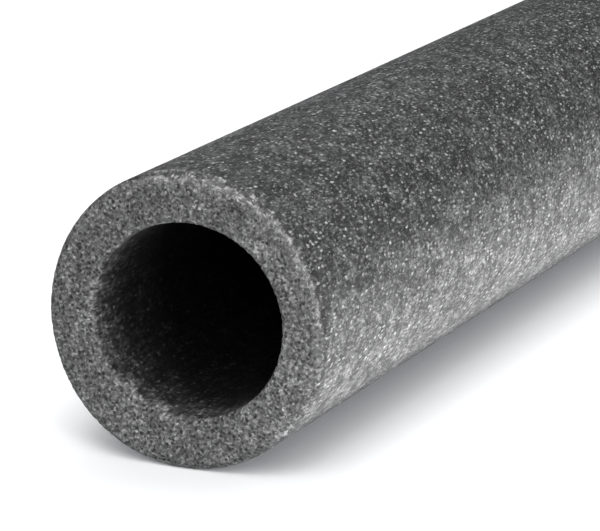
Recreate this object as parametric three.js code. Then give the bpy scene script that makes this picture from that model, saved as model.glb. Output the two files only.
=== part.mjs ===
// Pipe lagging: one tube of grey closed-cell foam, sold by the length and cut square at both ends.
// Millimetres, +Z up. The tube lies along X on the plane z = 0, with its middle over the origin.
import * as THREE from 'three';

// The pipe that the lagging slips over, and the lagging itself
const pipeDiameter = 35;
const slipClearance = 1; // the bore is this much wider than the pipe
const wallThickness = 9;
const tubeLength = 1000;

// The knife leaves each rim rounded, the skin's more than the bore's
const skinRimRadius = 1.3;
const boreRimRadius = 0.6;

// A soft extrusion is never quite true
const boreRise = 0.35; // the bore's axis lies this far above the skin's, so the thicker wall is below
const boreSpread = 0.4; // the bore reaches this much further sideways, and as much less up and down

// How finely the round surfaces are faceted
const sidesAround = 72;
const rimDivisions = 2;

const boreRadius = (pipeDiameter + slipClearance) / 2;
const skinRadius = boreRadius + wallThickness;

// Half of the tube cut lengthways: up the skin, in across one end, down the bore and out across the other
function wallProfile() {
  const halfLength = tubeLength / 2;
  const quarterTurn = Math.PI / 2;
  const skinArcRadius = skinRadius - skinRimRadius;
  const boreArcRadius = boreRadius + boreRimRadius;
  const skinArcHeight = halfLength - skinRimRadius;
  const boreArcHeight = halfLength - boreRimRadius;
  const profile = new THREE.Path();
  profile.moveTo(skinRadius, -skinArcHeight);
  profile.lineTo(skinRadius, skinArcHeight);
  profile.absarc(skinArcRadius, skinArcHeight, skinRimRadius, 0, quarterTurn, false);
  profile.lineTo(boreArcRadius, halfLength);
  profile.absarc(boreArcRadius, boreArcHeight, boreRimRadius, quarterTurn, 2 * quarterTurn, false);
  profile.lineTo(boreRadius, -boreArcHeight);
  profile.absarc(boreArcRadius, -boreArcHeight, boreRimRadius, 2 * quarterTurn, 3 * quarterTurn, false);
  profile.lineTo(skinArcRadius, -halfLength);
  profile.absarc(skinArcRadius, -skinArcHeight, skinRimRadius, 3 * quarterTurn, 4 * quarterTurn, false);
  return profile.getPoints(rimDivisions);
}

// The profile turned round the axis, which is laid along X, with a facet and not an edge facing down
function turnedTube() {
  const halfStep = Math.PI / sidesAround;
  const flatsToRound = 1 / Math.cos(halfStep); // the middle of each facet lies on the true circle
  const geometry = new THREE.LatheGeometry(wallProfile(), sidesAround);
  geometry.rotateZ(-Math.PI / 2);
  geometry.rotateX(halfStep);
  geometry.scale(1, flatsToRound, flatsToRound);
  return geometry;
}

// Moves the bore off centre and spreads it sideways, and leaves the skin as it is
function setBoreOutOfTrue(geometry) {
  const position = geometry.attributes.position;
  for (let i = 0; i < position.count; i += 1) {
    const y = position.getY(i);
    const z = position.getZ(i);
    const radius = Math.hypot(y, z);
    const angle = Math.atan2(z, y);
    const depth = THREE.MathUtils.clamp((skinRadius - radius) / wallThickness, 0, 1);
    const newRadius = radius + depth * boreSpread * Math.cos(2 * angle);
    position.setY(i, newRadius * Math.cos(angle));
    position.setZ(i, newRadius * Math.sin(angle) + depth * boreRise);
  }
  geometry.computeVertexNormals();
  return geometry;
}

const foamGrey = new THREE.MeshStandardMaterial({ color: 0x4a4b4c, roughness: 0.8, metalness: 0 });

const foamTube = new THREE.Mesh(setBoreOutOfTrue(turnedTube()), foamGrey);
foamTube.name = 'foam_tube';
foamTube.position.z = skinRadius;

const lagging = new THREE.Group();
lagging.add(foamTube);

export default lagging;
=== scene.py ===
# Foam pipe lagging: one length of grey closed-cell foam tube, lying on a pale floor.
# Metres, +Z up. The tube lies along X, and the camera looks down at its near cut end.
import math

import bpy
import mathutils
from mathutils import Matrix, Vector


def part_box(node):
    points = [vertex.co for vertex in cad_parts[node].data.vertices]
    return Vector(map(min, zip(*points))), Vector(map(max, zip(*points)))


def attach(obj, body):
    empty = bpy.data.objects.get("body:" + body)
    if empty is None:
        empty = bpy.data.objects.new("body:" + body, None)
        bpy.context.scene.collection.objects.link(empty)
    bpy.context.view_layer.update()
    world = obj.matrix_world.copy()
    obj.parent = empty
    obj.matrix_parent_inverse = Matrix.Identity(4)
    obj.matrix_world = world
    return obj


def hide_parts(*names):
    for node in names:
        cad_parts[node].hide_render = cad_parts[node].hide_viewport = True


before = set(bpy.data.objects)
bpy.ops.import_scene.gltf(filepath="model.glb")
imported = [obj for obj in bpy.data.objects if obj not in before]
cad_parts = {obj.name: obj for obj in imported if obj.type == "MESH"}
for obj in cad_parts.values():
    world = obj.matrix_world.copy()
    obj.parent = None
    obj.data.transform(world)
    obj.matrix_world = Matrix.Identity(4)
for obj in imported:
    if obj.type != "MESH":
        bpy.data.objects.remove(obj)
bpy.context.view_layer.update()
print("frame loaded:", ", ".join(sorted(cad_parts)))


class Wire:
    # Wraps a socket, so that sums in a node tree read as plain Python
    def __init__(self, tree, socket=None):
        self.tree = tree
        self.socket = socket

    def node(self, kind, settings=None, values=None, output=0):
        made = self.tree.nodes.new(kind)
        for name, value in (settings or {}).items():
            setattr(made, name, value)
        for name, value in (values or {}).items():
            if isinstance(value, Wire):
                self.tree.links.new(value.socket, made.inputs[name])
            else:
                made.inputs[name].default_value = value
        return Wire(self.tree, made.outputs[output])

    def other(self, output):
        return Wire(self.tree, self.socket.node.outputs[output])

    def maths(self, operation, *values):
        return self.node("ShaderNodeMath", {"operation": operation}, dict(enumerate(values)))

    def vector(self, operation, *values):
        return self.node("ShaderNodeVectorMath", {"operation": operation}, dict(enumerate(values)))

    def __add__(self, other):
        return self.maths("ADD", self, other)

    def __radd__(self, other):
        return self.maths("ADD", other, self)

    def __sub__(self, other):
        return self.maths("SUBTRACT", self, other)

    def __rsub__(self, other):
        return self.maths("SUBTRACT", other, self)

    def __mul__(self, other):
        return self.maths("MULTIPLY", self, other)

    def __rmul__(self, other):
        return self.maths("MULTIPLY", other, self)

    def __truediv__(self, other):
        return self.maths("DIVIDE", self, other)

    def __rtruediv__(self, other):
        return self.maths("DIVIDE", other, self)

    def __pow__(self, other):
        return self.maths("POWER", self, other)

    def __rpow__(self, other):
        return self.maths("POWER", other, self)

    def ramp(self, low, high):
        # 0 below low, 1 above high, and smooth between them
        values = {"Value": self, "From Min": low, "From Max": high}
        return self.node("ShaderNodeMapRange", {"interpolation_type": "SMOOTHSTEP"}, values)

    def rounded(self):
        return self.maths("ROUND", self)

    def atLeast(self, other):
        return self.maths("MAXIMUM", self, other)

    def atMost(self, other):
        return self.maths("MINIMUM", self, other)

    def sine(self):
        return self.maths("SINE", self)

    def cosine(self):
        return self.maths("COSINE", self)


# The camera: in front of the near end and to its right, looking 15 degrees down
camera = {
    "place": (-1.03916, -0.27112, 0.19468),
    "heading": 24.755,  # degrees from the tube's axis
    "pitch": 14.62,  # degrees down
    "lens": 214.8,  # millimetres, as is the sensor
    "sensor": 36,
    "nearest": 0.02,
    "farthest": 20,
}


def addCamera(sizes):
    data = bpy.data.cameras.new("camera")
    data.lens = sizes["lens"]
    data.sensor_width = sizes["sensor"]
    data.clip_start = sizes["nearest"]
    data.clip_end = sizes["farthest"]
    made = bpy.data.objects.new("camera", data)
    made.location = sizes["place"]
    made.rotation_euler = (
        math.radians(90 - sizes["pitch"]),
        0,
        math.radians(sizes["heading"] - 90),
    )
    bpy.context.scene.collection.objects.link(made)
    bpy.context.scene.camera = made


addCamera(camera)
print("camera placed")

# The foam tube. Lengths are in metres. Angles are in radians, from the right side (-Y) up over the top.
boxLow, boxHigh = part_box("foam_tube")
tube = {
    "Length": boxHigh.x - boxLow.x,
    "Skin radius": (boxHigh.z - boxLow.z) / 2,
    "Bore radius": 0.01803,
    "Skin rim": 0.0016,  # how far the cut's outer edge is rounded
    "Skin rim at the right": 0.0010,  # and how much more on the side where the knife came out
    "Bore rim": 0.0009,
    "Bore rim at the lower left": 0.0010,  # how much more the bore's edge is rounded there
    "Lower left": 3.9,
    "Bore to the right": 0.00035,
    "Bore up": 0.0002,
    "Skin ovality": 0.0003,
    "Skin ovality angle": 0.95,
    "Bore ovality": 0.0004,
    "Bore ovality angle": 0.14,
    "Sag": 0.0004,  # how far the tube wanders
    "Sag length": 0.16,  # and over what length
    "Dimples": 0.00010,  # how deep they are, then how wide the large and the small ones are
    "Dimple": 0.006,
    "Small dimple": 0.0016,
    "Cell": 0.00078,
    "Pit depth": 0.00024,
    "Fray": 0.00014,
    "Fray length": 0.0011,
    "Sides": 600,
    "Seed": 4.0,
}

# Stretches of the wall's outline, from the middle of the bore, over the cut end, to the middle of the skin.
# "sides" 2 means one side for every 2 of the tube's sides. s is the distance from the cut in metres, where
# a stretch starts and ends, and None is the middle. Growth packs the rows closer near the cut.
# A join takes in every other point, at its start (0) or its end (1).
stretches = [
    {"of": "bore", "sides": 4, "rows": 12, "s": (None, 0.0135), "growth": -3.2},
    {"of": "bore", "sides": 2, "rows": 1, "s": (0.0135, 0.0125), "join": 0},
    {"of": "bore", "sides": 2, "rows": 9, "s": (0.0125, 0.0032), "growth": -1.3},
    {"of": "bore", "sides": 1, "rows": 1, "s": (0.0032, 0.0028), "join": 0},
    {"of": "bore", "sides": 1, "rows": 5, "s": (0.0028, "rim")},
    {"of": "bore rim", "sides": 1, "rows": 4},
    {"of": "face", "sides": 1, "rows": 36},
    {"of": "skin rim", "sides": 1, "rows": 7},
    {"of": "skin", "sides": 1, "rows": 6, "s": ("rim", 0.0050)},
    {"of": "skin", "sides": 1, "rows": 1, "s": (0.0050, 0.0055), "join": 1},
    {"of": "skin", "sides": 2, "rows": 16, "s": (0.0055, 0.0165), "growth": 1.3},
    {"of": "skin", "sides": 2, "rows": 1, "s": (0.0165, 0.0175), "join": 1},
    {"of": "skin", "sides": 4, "rows": 26, "s": (0.0175, None), "growth": 3.2},
]


def outline(angle, sizes):
    # The skin's and the bore's points on each ray, as (y, z) wires about the tube's axis
    def oval(radius, amount, turn):
        return radius + amount * (2 * (angle - turn)).cosine()

    skin = oval(sizes["Skin radius"], sizes["Skin ovality"], sizes["Skin ovality angle"])
    bore = oval(sizes["Bore radius"], sizes["Bore ovality"], sizes["Bore ovality angle"])
    skinAt = (0 - skin * angle.cosine(), skin * angle.sine())
    boreAt = (
        0 - bore * angle.cosine() - sizes["Bore to the right"],
        bore * angle.sine() + sizes["Bore up"],
    )
    return skinAt, boreAt


def addStretch(start, sizes, part):
    # One strip of the wall: a grid with one side along the outline and the other round the tube
    sides = sizes["Sides"] / part["sides"]
    gridSizes = {"Size X": 1, "Size Y": 1, "Vertices X": part["rows"] + 1, "Vertices Y": sides + 1}
    grid = start.node("GeometryNodeMeshGrid", None, gridSizes, "Mesh")
    place = start.node("GeometryNodeInputPosition")
    split = start.node("ShaderNodeSeparateXYZ", None, {"Vector": place}, "X")
    along = split + 0.5
    turn = split.other("Y") + 0.5
    if "join" in part:
        # every other point on one side of the strip slides onto its neighbour, where the sides are fewer
        coarse = (turn * sides / 2).rounded() / (sides / 2)
        share = along if part["join"] else 1 - along
        turn = turn + share * (coarse - turn)
    angle = turn * (2 * math.pi)
    wall = sizes["Skin radius"] - sizes["Bore radius"]
    rim = sizes["Skin rim"] + sizes["Skin rim at the right"] * angle.cosine().atLeast(0)
    lowerLeft = (angle - sizes["Lower left"]).cosine().atLeast(0)
    boreRim = sizes["Bore rim"] + sizes["Bore rim at the lower left"] * lowerLeft
    quarter = along * (math.pi / 2)
    if part["of"] == "face":
        s = along * 0
        depth = boreRim + along * (wall - rim - boreRim)
    elif part["of"] == "skin rim":
        s = rim * (1 - quarter.cosine())
        depth = wall - rim * (1 - quarter.sine())
    elif part["of"] == "bore rim":
        s = boreRim * (1 - quarter.sine())
        depth = boreRim * (1 - quarter.cosine())
    else:
        named = {None: sizes["Length"] / 2, "rim": rim if part["of"] == "skin" else boreRim}
        ends = [named.get(end, end) for end in part["s"]]
        growth = part.get("growth")
        if growth:
            power = abs(growth)
            along = along**power if growth > 0 else 1 - (1 - along) ** power
        s = ends[0] + along * (ends[1] - ends[0])
        depth = wall if part["of"] == "skin" else wall * 0
    share = depth / wall
    skinAt, boreAt = outline(angle, sizes)
    y = boreAt[0] + share * (skinAt[0] - boreAt[0])
    z = boreAt[1] + share * (skinAt[1] - boreAt[1])
    x = s - sizes["Length"] / 2
    point = start.node("ShaderNodeCombineXYZ", None, {"X": x, "Y": y, "Z": z})
    stored = grid
    for name, value in (("fromCut", s), ("fromBore", depth), ("overRim", s / rim)):
        given = {"Geometry": stored, "Name": name, "Value": value}
        stored = start.node("GeometryNodeStoreNamedAttribute", {"data_type": "FLOAT"}, given)
    return start.node("GeometryNodeSetPosition", None, {"Geometry": stored, "Position": point})


mergeDistance = 0.000002  # the strips' shared rows lie closer together than this


def joined(start, pieces):
    node = start.node("GeometryNodeJoinGeometry")
    for piece in pieces:
        start.tree.links.new(piece.socket, node.socket.node.inputs[0])
    return node


def noise(start, place, size, detail, seed):
    values = {"Vector": place, "W": seed, "Scale": 1 / size, "Detail": detail, "Roughness": 0.55}
    return start.node("ShaderNodeTexNoise", {"noise_dimensions": "4D"}, values) - 0.5


def tubeTree():
    tree = bpy.data.node_groups.new("foamTube", "GeometryNodeTree")
    face = tree.interface
    face.new_socket("Geometry", in_out="OUTPUT", socket_type="NodeSocketGeometry")
    face.new_socket("Finish", in_out="INPUT", socket_type="NodeSocketMaterial")
    for name, value in tube.items():
        kind = "NodeSocketInt" if isinstance(value, int) else "NodeSocketFloat"
        face.new_socket(name, in_out="INPUT", socket_type=kind).default_value = value
    start = Wire(tree)
    given = start.node("NodeGroupInput", None, None, "Finish")
    sizes = {name: given.other(name) for name in tube}

    # one half, from the middle to the cut end, then its mirror image
    half = joined(start, [addStretch(start, sizes, part) for part in stretches])
    mirrored = start.node("GeometryNodeTransform", None, {"Geometry": half, "Scale": (-1, 1, 1)})
    mirrored = start.node("GeometryNodeFlipFaces", None, {"Mesh": mirrored})
    whole = joined(start, [half, mirrored])
    whole = start.node("GeometryNodeMergeByDistance", None, {"Geometry": whole, "Distance": mergeDistance})

    # the material reads each point's place before the tube wanders
    place = start.node("GeometryNodeInputPosition")
    whole = start.node(
        "GeometryNodeStoreNamedAttribute",
        {"data_type": "FLOAT_VECTOR"},
        {"Geometry": whole, "Name": "foamPlace", "Value": place},
    )

    # the tube wanders a little, as a soft extrusion does
    seed = sizes["Seed"]
    wander = [noise(start, place, sizes["Sag length"], 1, seed + step) for step in (0, 9)]
    across = start.node("ShaderNodeCombineXYZ", None, {
        "Y": sizes["Sag"] * wander[0],
        "Z": sizes["Sag"] * wander[1],
    })
    whole = start.node("GeometryNodeSetPosition", None, {"Geometry": whole, "Offset": across})

    # open cells on the cut, a frayed edge and shallow dimples on the skin
    def read(name, kind="FLOAT"):
        settings = {"data_type": kind}
        return start.node("GeometryNodeInputNamedAttribute", settings, {"Name": name}, "Attribute")

    rest = read("foamPlace", "FLOAT_VECTOR")
    cells = start.node(
        "ShaderNodeTexVoronoi",
        {"feature": "SMOOTH_F1", "voronoi_dimensions": "3D"},
        {"Vector": rest, "Scale": 1 / sizes["Cell"], "Smoothness": 0.35},
        "Distance",
    )
    bowl = 1 - cells.ramp(0.15, 0.75)
    onCut = 1 - read("fromCut").ramp(0.0002, 0.0016)
    rough = noise(start, rest, sizes["Fray length"], 2, seed + 3)
    dimple = noise(start, rest, sizes["Dimple"], 2, seed + 5)
    dimple = dimple + 0.5 * noise(start, rest, sizes["Small dimple"], 1, seed + 6)
    height = sizes["Fray"] * rough * onCut - sizes["Pit depth"] * bowl * onCut
    height = height + sizes["Dimples"] * dimple
    normal = start.node("GeometryNodeInputNormal")
    scaled = {"Vector": normal, "Scale": height}
    offset = start.node("ShaderNodeVectorMath", {"operation": "SCALE"}, scaled)
    whole = start.node("GeometryNodeSetPosition", None, {"Geometry": whole, "Offset": offset})

    # the axis lies one radius above the floor, and no point goes under the floor
    here = start.node("GeometryNodeInputPosition")
    here = start.node("ShaderNodeSeparateXYZ", None, {"Vector": here}, "X")
    floorAt = here.other("Z") + sizes["Skin radius"]
    point = start.node("ShaderNodeCombineXYZ", None, {
        "X": here,
        "Y": here.other("Y"),
        "Z": floorAt.atLeast(0),
    })
    whole = start.node("GeometryNodeSetPosition", None, {"Geometry": whole, "Position": point})
    whole = start.node("GeometryNodeSetShadeSmooth", None, {"Geometry": whole})
    whole = start.node("GeometryNodeRealizeInstances", None, {"Geometry": whole})
    whole = start.node("GeometryNodeSetMaterial", None, {"Geometry": whole, "Material": given})
    groupOutput = tree.nodes.new("NodeGroupOutput")
    tree.links.new(whole.socket, groupOutput.inputs[0])
    return tree


# The foam's finish. Greys are linear, and sizes are in metres.
finish = {
    "skinGrey": (0.046, 0.046, 0.046),
    "cutGrey": (0.083, 0.083, 0.083),
    "boreGrey": (0.019, 0.019, 0.019),
    "cell": 0.00085,
    "fineCell": 0.00048,
    "stretch": 2.0,  # cells are this much longer along the tube
    "wanders": ((0.0012, 0.0005), (0.00045, 0.0004)),  # waves that bend the cells: how long, how far
    "fibre": 0.00055,  # the finest grain, then two sizes of cloud in the grey
    "mottle": 0.0026,
    "patch": 0.006,
    "streak": 0.0008,  # the width of the bore's streaks
    "streakRate": 0.12,  # how fast they change along the tube, where across it is 1
    "skinContrast": 1.9,
    "cutContrast": 1.65,
    "boreContrast": 1.8,
    "paintedLipLight": 0.013,  # painted light: the bore is paler up to here, and then painted shade darkens it between two depths
    "paintedBoreShade": (0.004, 0.020),
    "skinRadius": tube["Skin radius"],
    "bandInside": (0.0060, 0.0082),  # the pale band fades in over this distance from the bore
    "bandOutside": (0.0012, 0.0030),  # and out again over this distance from the cut
    "scratchLength": 0.0022,
    "scratchWidth": 0.00032,
    "burr": 0.0011,  # crumbs of foam on the cut's edge
    "gloss": 0.42,
    "skinRoughness": 0.5,
    "cutRoughness": 0.8,
    "coatRoughness": 0.4,  # the molten sheen that the die leaves on the skin
    "coatGloss": 1.5,  # its index of refraction
    "relief": 0.00012,
    "reliefStrength": 0.8,
}


def foamFinish(look):
    material = bpy.data.materials.new("greyFoam")
    material.use_nodes = True
    tree = material.node_tree
    tree.nodes.clear()
    start = Wire(tree)

    def read(name, output):
        return start.node("ShaderNodeAttribute", {"attribute_name": name}, None, output)

    def tone(grey, factor):
        values = {"Vector": grey, "Scale": factor}
        return start.node("ShaderNodeVectorMath", {"operation": "SCALE"}, values)

    def mixed(factor, a, b):
        return start.node("ShaderNodeMix", {"data_type": "RGBA"}, {0: factor, 6: a, 7: b}, 2)

    def noise(place, size, detail, output=0):
        values = {"Vector": place, "Scale": 1 / size, "Detail": detail, "Roughness": 0.6}
        return start.node("ShaderNodeTexNoise", None, values, output)

    def cells(place, size):
        values = {"Vector": place, "Scale": 1 / size}
        return start.node("ShaderNodeTexVoronoi", None, values, "Distance")

    def chance(cell, channel):
        # a number that is the same all over one cell
        return start.node("ShaderNodeSeparateColor", None, {"Color": cell.other("Color")}, channel)

    # cells are drawn out along the tube, and wander a little
    here = read("foamPlace", "Vector")
    drawn = here.vector("MULTIPLY", here, (1 / look["stretch"], 1, 1))
    place = drawn
    for size, reach in look["wanders"]:
        wander = noise(drawn, size, 1, "Color")
        wander = wander.vector("SUBTRACT", wander, (0.5, 0.5, 0.5))
        place = place.vector("ADD", place, tone(wander, reach))
    fromCut = read("fromCut", "Fac")
    fromBore = read("fromBore", "Fac")
    overRim = read("overRim", "Fac")

    big = cells(place, look["cell"])
    small = cells(place, look["fineCell"])
    fibre = noise(place, look["fibre"], 2) - 0.5
    patches = noise(here, look["patch"], 2) - 0.5
    mottle = noise(here, look["mottle"], 1) - 0.5

    # painted glints: bright specks in the skin's colour, where bubbles under the skin would catch the
    # light; most cells stay dull
    paintedGlint = (1 - big.ramp(0.08, 0.42)) * chance(big, 0) ** 1.8
    paintedFineGlint = (1 - small.ramp(0.10, 0.50)) * chance(small, 0) ** 1.8
    pit = (1 - big.ramp(0.10, 0.50)) * (1 - chance(big, 0)).ramp(0.4, 0.8)
    skinGrain = 2.2 * fibre + 1.2 * patches + 1.7 * mottle + 0.7 * (chance(small, 1) - 0.5) - 0.5 * pit
    skinTone = 0.71 * 2.718 ** (look["skinContrast"] * skinGrain) + 9.5 * paintedGlint + 5.5 * paintedFineGlint

    # the cut: small pores painted dark, as painted shade in the open cells, and a few pale specks in a
    # matted ground
    shadedPore = (1 - big.ramp(0.10, 0.48)) * (0.3 + 0.7 * chance(big, 1))
    speck = (1 - small.ramp(0.05, 0.45)) * chance(small, 2) ** 4
    cutGrain = 2.4 * fibre + 0.7 * (chance(small, 1) - 0.5) + 0.7 * patches - 1.5 * shadedPore + 0.6 * speck
    cutTone = 2.718 ** (look["cutContrast"] * cutGrain)

    # the bore: streaks and a few specks, which are painted glints, with painted light on the lip, where the
    # specks are brighter too, and painted shade deep inside
    along = here.vector("MULTIPLY", here, (look["streakRate"], 1, 1))
    drag = noise(along, look["streak"], 2) - 0.5
    paintedLipLight = 1 - fromCut.ramp(0, look["paintedLipLight"])
    boreTone = 0.6 * 2.718 ** (look["boreContrast"] * skinGrain + 3.0 * drag + 1.8 * paintedLipLight)
    boreTone = boreTone + (1 + 3 * paintedLipLight) * (4 * paintedGlint + 1.5 * paintedFineGlint)
    boreTone = boreTone * (1 - 0.65 * fromCut.ramp(*look["paintedBoreShade"]))

    # where the knife came out, the cut's edge is matted and pale, with fine scratches along it
    split = start.node("ShaderNodeSeparateXYZ", None, {"Vector": here}, "X")
    y = split.other("Y")
    z = split.other("Z")
    radius = look["skinRadius"]
    knifeSide = (0.8 * z - 0.6 * y).ramp(0.25 * radius, 0.8 * radius)
    band = fromBore.ramp(*look["bandInside"]) * (1 - fromCut.ramp(*look["bandOutside"])) * knifeSide
    around = y.maths("ARCTAN2", z, y) * (radius / look["scratchLength"])
    over = (fromCut - fromBore) / look["scratchWidth"]
    scratchPlace = start.node("ShaderNodeCombineXYZ", None, {"X": around, "Y": over})
    scratch = noise(scratchPlace, 1.0, 1).ramp(0.6, 0.72) * band

    # the frayed line where the cut meets the skin, with pale crumbs on it
    edge = overRim + 0.35 * knifeSide + 0.5 * fibre + 0.6 * patches
    onCut = 1 - edge.ramp(0.35, 0.65)
    crumbs = noise(here, look["burr"], 2).ramp(0.48, 0.62)
    burr = edge.ramp(0.30, 0.50) * (1 - edge.ramp(0.50, 0.70)) * crumbs
    # painted light from below: the cut is paler towards the bottom and darker towards the top
    cutTone = cutTone * (1 + 0.2 * band - 0.12 * z / radius) + 0.55 * band + 3.0 * scratch + 1.5 * burr
    skinTone = skinTone + 3.0 * scratch + 4.0 * burr
    inBore = 1 - fromBore.ramp(0.0002, 0.0009)
    onSkin = (1 - onCut) * (1 - inBore)
    body = mixed(inBore, tone(look["skinGrey"], skinTone), tone(look["boreGrey"], boreTone))
    colour = mixed(onCut, body, tone(look["cutGrey"], cutTone))

    # fine relief: low domes on the skin and pores in the cut
    dome = (1 - big.ramp(0.05, 0.6)) * (0.3 + 0.7 * chance(big, 0))
    height = (1 - onCut) * dome - onCut * shadedPore + 1.2 * fibre
    relief = {"Height": height, "Strength": look["reliefStrength"], "Distance": look["relief"]}
    bump = start.node("ShaderNodeBump", None, relief, "Normal")
    shine = (look["skinRoughness"] - 0.12 * skinGrain).atLeast(0.25).atMost(0.8)
    roughness = shine + (look["cutRoughness"] - shine) * onCut
    coat = onSkin * (0.12 + 0.5 * skinGrain + 0.8 * paintedGlint).atLeast(0).atMost(1)
    shader = start.node("ShaderNodeBsdfPrincipled", None, {
        "Base Color": colour,
        "Roughness": roughness,
        "Specular IOR Level": look["gloss"],
        "Normal": bump,
        "Coat Weight": coat,
        "Coat Roughness": look["coatRoughness"],
        "Coat IOR": look["coatGloss"],
    })
    materialOutput = tree.nodes.new("ShaderNodeOutputMaterial")
    tree.links.new(shader.socket, materialOutput.inputs["Surface"])
    return material


def addTube():
    maker = bpy.data.objects.new("tubeMaker", bpy.data.meshes.new("tubeMaker"))
    bpy.context.scene.collection.objects.link(maker)
    modifier = maker.modifiers.new("tube", "NODES")
    modifier.node_group = tubeTree()
    material = foamFinish(finish)
    for item in modifier.node_group.interface.items_tree:
        if item.in_out == "INPUT":
            modifier[item.identifier] = material if item.name == "Finish" else tube[item.name]
    evaluated = maker.evaluated_get(bpy.context.evaluated_depsgraph_get())
    mesh = bpy.data.meshes.new_from_object(evaluated)
    mesh.name = "foamTube"
    made = bpy.data.objects.new("foamTube", mesh)
    bpy.context.scene.collection.objects.link(made)
    bpy.data.objects.remove(maker)
    return made


foamTube = addTube()
print("foam tube made:", len(foamTube.data.polygons), "faces")
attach(foamTube, "root")
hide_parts("foam_tube")

# The floor and the light of a small studio
studio = {
    "floor": 6.0,  # metres across
    "floorGrey": (0.89, 0.89, 0.89, 1),
    "floorRoughness": 0.9,
    "floorGloss": 0.1,
    "floorGlow": 0.14,  # softens the shadow, as a floor lit from below does
    "glowColour": (0.91, 0.94, 1, 1),
    "sky": 0.05,
    "skyColour": (0.75, 0.87, 1.0, 1),
    # each softbox: where it stands and what it faces, its width and depth, and its power in watts
    "lamps": {
        "front": ((-2.2, -0.5, 1.0), (-0.4, 0, 0), (1.2, 1.2), 18),
        "high front": ((-1.5, -0.3, 1.7), (-0.4, 0, 0), (1.0, 1.0), 20),
        "back": ((0.3, 0.3, 1.5), (-0.4, 0, 0), (1.0, 1.0), 5.6),
        "right back": ((0.3, -0.9, 1.2), (-0.4, 0, 0), (1.0, 1.0), 5),
        "left back": ((0.2, 0.9, 1.2), (-0.4, 0, 0), (1.0, 1.0), 3.5),
        "top": ((-0.5, -0.1, 1.6), (-0.4, 0, 0), (1.5, 1.5), 8),
        # a panel let into the floor beside the tube, which lights its flank from below
        "side panel": ((-0.05, -0.062, 0.002), (-0.05, -0.062, 1), (1.1, 0.084), 0.32),
    },
    # a round paper lantern, low on the right
    "lantern": {"at": (-1.3, -1.2, 0.25), "radius": 0.15, "power": 28},
}


def addFloor(sizes):
    half = sizes["floor"] / 2
    mesh = bpy.data.meshes.new("floor")
    corners = [(-half, -half, 0), (half, -half, 0), (half, half, 0), (-half, half, 0)]
    mesh.from_pydata(corners, [], [(0, 1, 2, 3)])
    material = bpy.data.materials.new("paleFloor")
    material.use_nodes = True
    shader = material.node_tree.nodes["Principled BSDF"]
    shader.inputs["Base Color"].default_value = sizes["floorGrey"]
    shader.inputs["Roughness"].default_value = sizes["floorRoughness"]
    shader.inputs["Specular IOR Level"].default_value = sizes["floorGloss"]
    shader.inputs["Emission Color"].default_value = sizes["glowColour"]
    shader.inputs["Emission Strength"].default_value = sizes["floorGlow"]
    mesh.materials.append(material)
    made = bpy.data.objects.new("floor", mesh)
    bpy.context.scene.collection.objects.link(made)
    return made


def addLamp(name, data, place, power):
    data.energy = power
    made = bpy.data.objects.new(name, data)
    made.location = place
    made.visible_camera = False  # it lights the scene and isn't seen itself
    bpy.context.scene.collection.objects.link(made)
    return made


def addLights(sizes):
    world = bpy.data.worlds.new("studio")
    world.use_nodes = True
    background = world.node_tree.nodes["Background"]
    background.inputs["Color"].default_value = sizes["skyColour"]
    background.inputs["Strength"].default_value = sizes["sky"]
    bpy.context.scene.world = world
    for name, (place, target, size, power) in sizes["lamps"].items():
        data = bpy.data.lights.new(name, "AREA")
        data.shape = "RECTANGLE"
        data.size, data.size_y = size
        made = addLamp(name, data, place, power)
        aim = mathutils.Vector(target) - mathutils.Vector(place)
        made.rotation_euler = aim.to_track_quat("-Z", "Y").to_euler()
    lantern = sizes["lantern"]
    data = bpy.data.lights.new("lantern", "POINT")
    data.shadow_soft_size = lantern["radius"]
    addLamp("lantern", data, lantern["at"], lantern["power"])
    bpy.context.scene.view_settings.view_transform = "Standard"


floor = addFloor(studio)
addLights(studio)
print("floor and lights placed")
